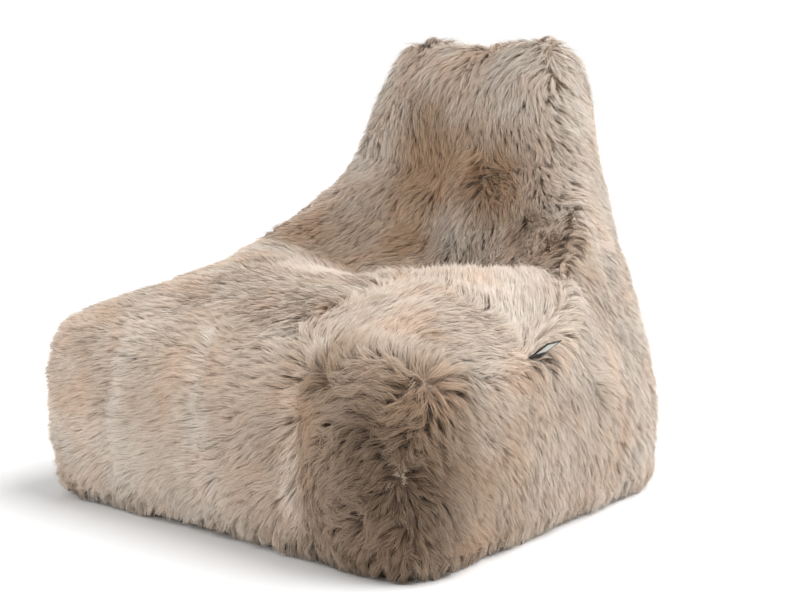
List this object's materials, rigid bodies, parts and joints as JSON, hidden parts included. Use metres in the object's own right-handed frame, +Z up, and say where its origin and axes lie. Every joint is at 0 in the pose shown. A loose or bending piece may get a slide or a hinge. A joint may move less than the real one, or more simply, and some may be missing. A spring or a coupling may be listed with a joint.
{
  "type": "bean bag chair",
  "caption": "Bean bag chair with a tapering backrest, seat hollow and long-wool sheepskin cover over a zipped inner bag of beads.",
  "frame": {"origin": "on the floor under the middle of the chair's bounding box", "axes": "+Z up; -Y is the front, where the sitter's legs leave the seat; +X is the side that carries the label tab"},
  "size_m": [0.9764, 1.0035, 0.9148],
  "materials": {
    "sheepskin": "long-wool sheepskin on its hide, dyed taupe beige",
    "base_cloth": "coarse dark brown hard-wearing cloth",
    "inner_cloth": "undyed plain-weave cotton",
    "beads": "expanded polystyrene beads",
    "label_tape": "near-black woven tape, blank",
    "cover_zip_tape": "dark brown woven zip tape",
    "cover_zip_coil": "dark brown nylon coil",
    "inner_zip_tape": "undyed woven zip tape",
    "inner_zip_coil": "off-white nylon coil",
    "zip_metal": "dull nickel-plated zip metal"
  },
  "bodies": {
    "cover": {"back_pelt_lower_left": "sheepskin", "back_pelt_lower_right": "sheepskin", "back_pelt_middle_left": "sheepskin", "back_pelt_middle_right": "sheepskin", "back_pelt_upper": "sheepskin", "backrest_pelt_lower_left": "sheepskin", "backrest_pelt_lower_right": "sheepskin", "backrest_pelt_upper": "sheepskin", "base_panel": "base_cloth", "bead_fill": "beads", "cover_zip_coil_lower": "cover_zip_coil", "cover_zip_coil_upper": "cover_zip_coil", "cover_zip_stops": "zip_metal", "cover_zip_tape_lower": "cover_zip_tape", "cover_zip_tape_upper": "cover_zip_tape", "front_pelt_1": "sheepskin", "front_pelt_2": "sheepskin", "front_pelt_3": "sheepskin", "front_pelt_4": "sheepskin", "inner_bag_base": "inner_cloth", "inner_bag_body": "inner_cloth", "inner_zip_coil_lower": "inner_zip_coil", "inner_zip_coil_upper": "inner_zip_coil", "inner_zip_stops": "zip_metal", "inner_zip_tape_lower": "inner_zip_tape", "inner_zip_tape_upper": "inner_zip_tape", "seat_front_pelt_left": "sheepskin", "seat_front_pelt_middle": "sheepskin", "seat_front_pelt_right": "sheepskin", "seat_hollow_pelt_left": "sheepskin", "seat_hollow_pelt_middle": "sheepskin", "seat_hollow_pelt_right": "sheepskin", "side_pelt_front_left": "sheepskin", "side_pelt_front_right": "sheepskin", "side_pelt_middle_left": "sheepskin", "side_pelt_middle_right": "sheepskin", "side_pelt_rear_left": "sheepskin", "side_pelt_rear_right": "sheepskin", "wing_pelt_left": "sheepskin", "wing_pelt_right": "sheepskin"},
    "cover_zip_slider": {"cover_zip_slider": "zip_metal"},
    "cover_zip_pull": {"cover_zip_pull": "zip_metal"},
    "inner_zip_slider": {"inner_zip_slider": "zip_metal"},
    "label_tab": {"label_tab": "label_tape"}
  },
  "joints": [
    {"name": "cover_zip_travel", "type": "slide", "parent": "cover", "child": "cover_zip_slider", "axis": [-1, 0, 0], "range_m": [0, 0.46]},
    {"name": "cover_zip_pull_swing", "type": "hinge", "parent": "cover_zip_slider", "child": "cover_zip_pull", "pos_m": [0.232, 0.384, 0.0125], "axis": [0, 0, -1], "range_deg": [0, 170]},
    {"name": "inner_zip_travel", "type": "slide", "parent": "cover", "child": "inner_zip_slider", "axis": [-1, 0, 0], "range_m": [0, 0.4]},
    {"name": "label_tab_bend", "type": "hinge", "parent": "cover", "child": "label_tab", "pos_m": [0.44466, -0.0993, 0.32845], "axis": [0, -1, 0], "range_deg": [-15, 15], "stiffness_Nm_per_rad": 0.02}
  ]
}
